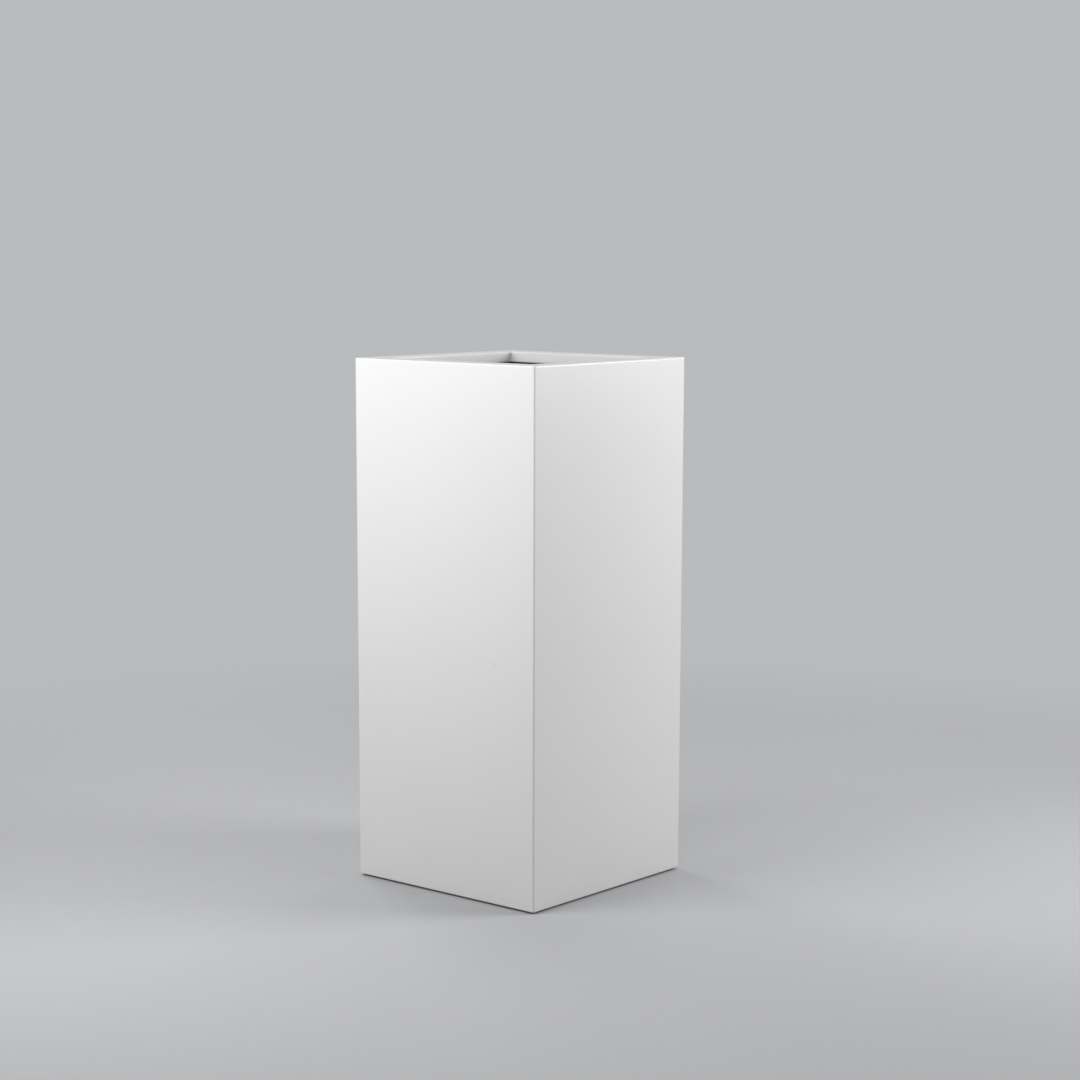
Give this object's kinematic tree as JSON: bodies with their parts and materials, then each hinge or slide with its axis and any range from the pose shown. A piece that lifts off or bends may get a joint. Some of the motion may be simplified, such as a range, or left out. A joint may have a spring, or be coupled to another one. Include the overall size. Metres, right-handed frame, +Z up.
{
  "type": "planter",
  "caption": "Tall square floor planter in gloss white glass-reinforced plastic, with a flat inturned rim, a loose inner shelf, drain plugs and rubber feet.",
  "frame": {"origin": "on the floor under the middle of the planter, at the level of the feet's undersides", "axes": "+Z up to the rim; +X and +Y square to the sides; the near vertical edge in the picture is the -X, -Y one"},
  "size_m": [0.4, 0.4, 0.9],
  "materials": {
    "gelcoat": "white gel-coat, satin to gloss, outside; dark flow-coat inside",
    "plywood": "plywood sealed with resin",
    "timber": "planed softwood sealed with resin",
    "rubber": "moulded black rubber",
    "plug_rubber": "moulded dark grey rubber",
    "shelf_board": "grained dark grey plastic board",
    "screw_steel": "bright zinc-plated steel"
  },
  "bodies": {
    "planter": {"shell": "gelcoat", "base_board": "plywood", "foot_front_left": "rubber", "foot_front_right": "rubber", "foot_back_right": "rubber", "foot_back_left": "rubber", "foot_screw_front_left": "screw_steel", "foot_screw_front_right": "screw_steel", "foot_screw_back_right": "screw_steel", "foot_screw_back_left": "screw_steel", "shelf_ledge_front": "timber", "shelf_ledge_right": "timber", "shelf_ledge_back": "timber", "shelf_ledge_left": "timber", "rim_batten_front": "timber", "rim_batten_right": "timber", "rim_batten_back": "timber", "rim_batten_left": "timber"},
    "shelf": {"shelf": "shelf_board"},
    "drain_plug_front_left": {"drain_plug_front_left": "plug_rubber"},
    "drain_plug_front_right": {"drain_plug_front_right": "plug_rubber"},
    "drain_plug_back_right": {"drain_plug_back_right": "plug_rubber"},
    "drain_plug_back_left": {"drain_plug_back_left": "plug_rubber"}
  },
  "joints": [
    {"name": "shelf_lift", "type": "slide", "parent": "planter", "child": "shelf", "axis": [0, 0, 1], "range_m": [0, 0.28]},
    {"name": "drain_plug_front_left_pull", "type": "slide", "parent": "planter", "child": "drain_plug_front_left", "axis": [0, 0, 1], "range_m": [0, 0.04]},
    {"name": "drain_plug_front_right_pull", "type": "slide", "parent": "planter", "child": "drain_plug_front_right", "axis": [0, 0, 1], "range_m": [0, 0.04]},
    {"name": "drain_plug_back_right_pull", "type": "slide", "parent": "planter", "child": "drain_plug_back_right", "axis": [0, 0, 1], "range_m": [0, 0.04]},
    {"name": "drain_plug_back_left_pull", "type": "slide", "parent": "planter", "child": "drain_plug_back_left", "axis": [0, 0, 1], "range_m": [0, 0.04]}
  ]
}
